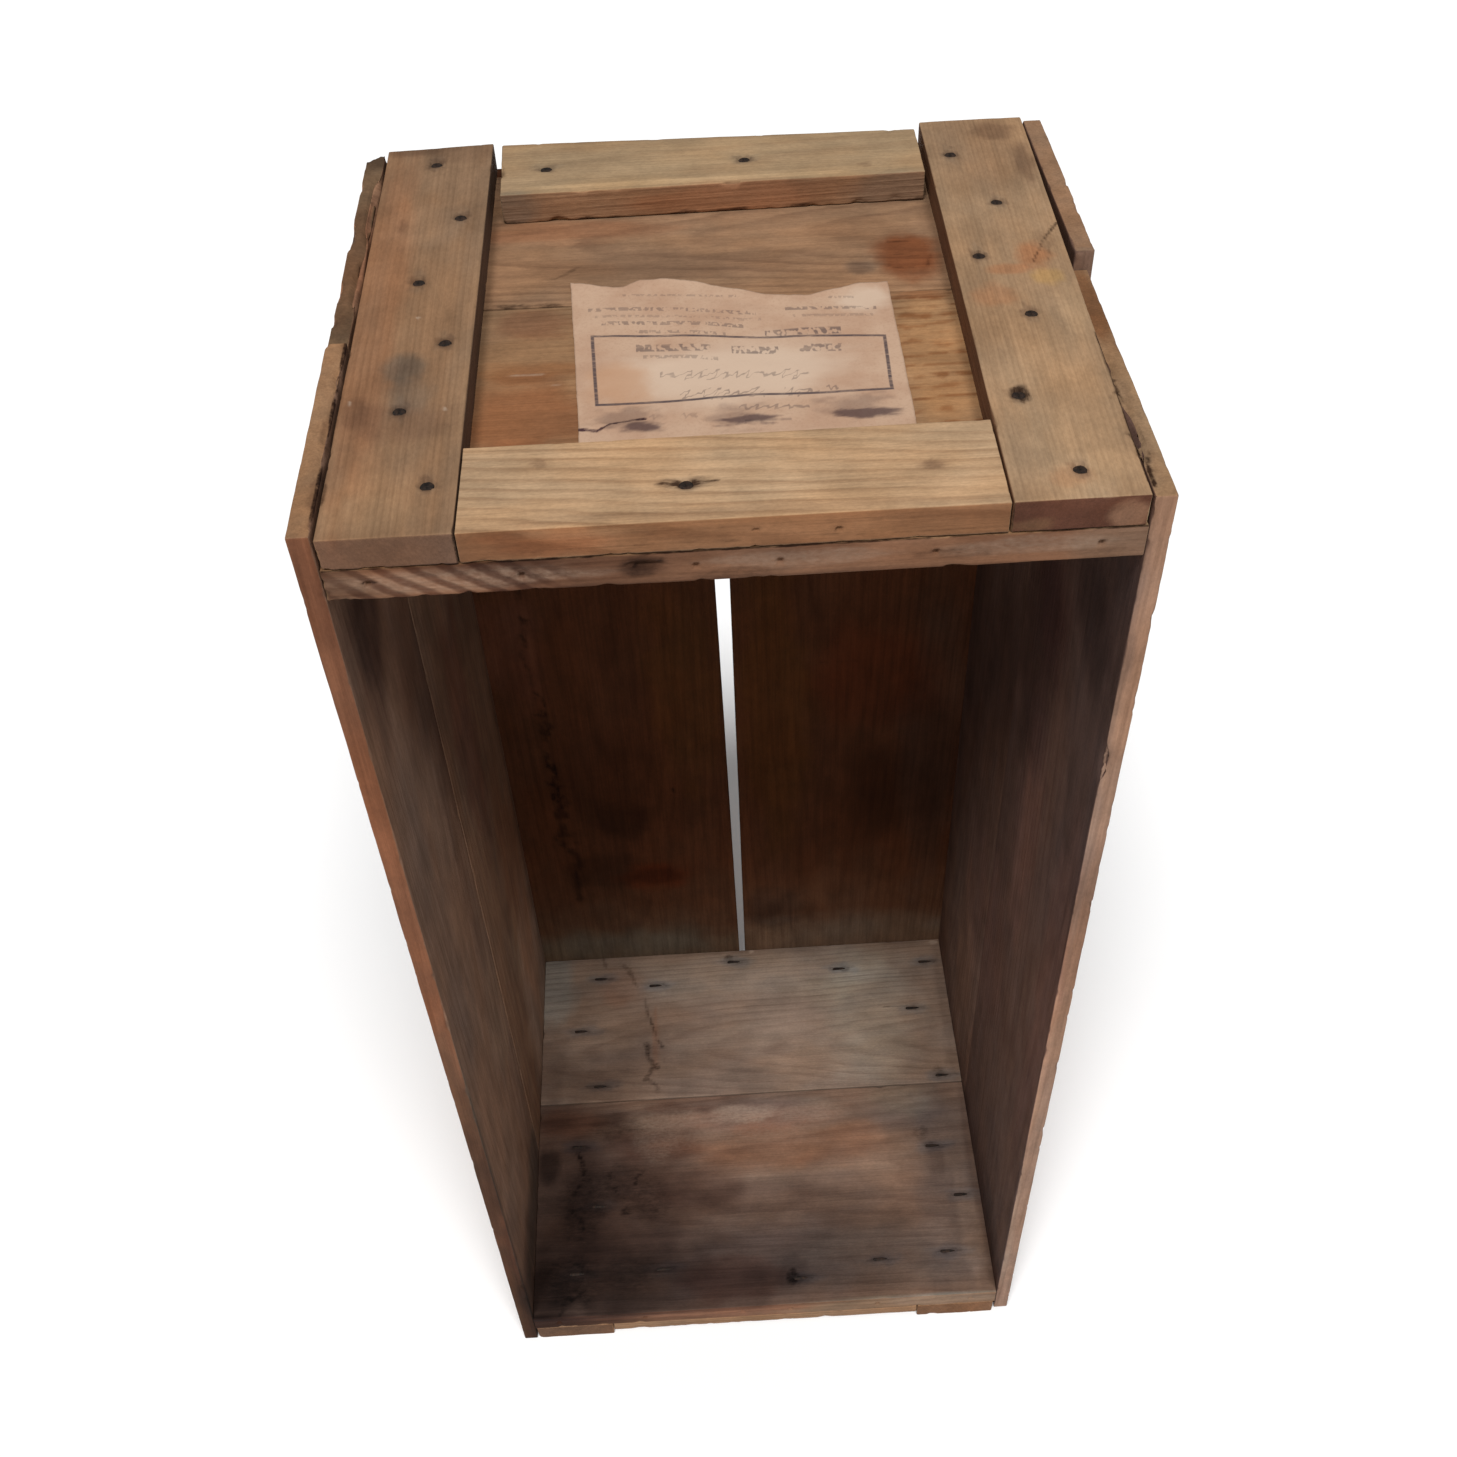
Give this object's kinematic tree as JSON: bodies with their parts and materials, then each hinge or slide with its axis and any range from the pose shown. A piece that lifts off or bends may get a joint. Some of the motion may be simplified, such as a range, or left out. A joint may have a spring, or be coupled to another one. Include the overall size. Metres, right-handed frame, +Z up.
{
  "type": "wooden crate",
  "caption": "Old nailed softwood packing crate standing on one end, open at the front, with cleated ends, thin side and back boards and a paper label on its upper end.",
  "frame": {"origin": "centre of the crate's footprint, on the surface that it stands on", "axes": "+Z up along the crate's length, -Y out of the open side, +X to the right as seen from the open side"},
  "size_m": [0.3326, 0.3, 0.713],
  "materials": {
    "end_panel_wood": "aged sawn softwood, oiled dark by handling",
    "cleat_wood": "aged planed softwood, worn edges",
    "side_wood": "aged thin sawn boards, dusty",
    "back_wood": "aged thin sawn boards, dark",
    "nail_iron": "rusty, dark",
    "label_paper": "yellowed and creased, matt"
  },
  "bodies": {
    "root": {"top_panel_front": "end_panel_wood", "top_panel_rear": "end_panel_wood", "bottom_panel_front": "end_panel_wood", "bottom_panel_rear": "end_panel_wood", "top_left_cleat": "cleat_wood", "top_right_cleat": "cleat_wood", "top_front_cleat": "cleat_wood", "top_rear_cleat": "cleat_wood", "bottom_left_cleat": "cleat_wood", "bottom_right_cleat": "cleat_wood", "bottom_front_cleat": "cleat_wood", "bottom_rear_cleat": "cleat_wood", "left_side_front_board": "side_wood", "left_side_rear_board": "side_wood", "right_side_front_board": "side_wood", "right_side_rear_board": "side_wood", "back_left_board": "back_wood", "back_right_board": "back_wood", "top_left_cleat_nails": "nail_iron", "top_right_cleat_nails": "nail_iron", "top_front_cleat_nails": "nail_iron", "top_rear_cleat_nails": "nail_iron", "bottom_left_cleat_nails": "nail_iron", "bottom_right_cleat_nails": "nail_iron", "bottom_front_cleat_nails": "nail_iron", "bottom_rear_cleat_nails": "nail_iron", "left_side_nails": "nail_iron", "right_side_nails": "nail_iron", "back_nails": "nail_iron", "paper_label": "label_paper"}
  },
  "joints": []
}
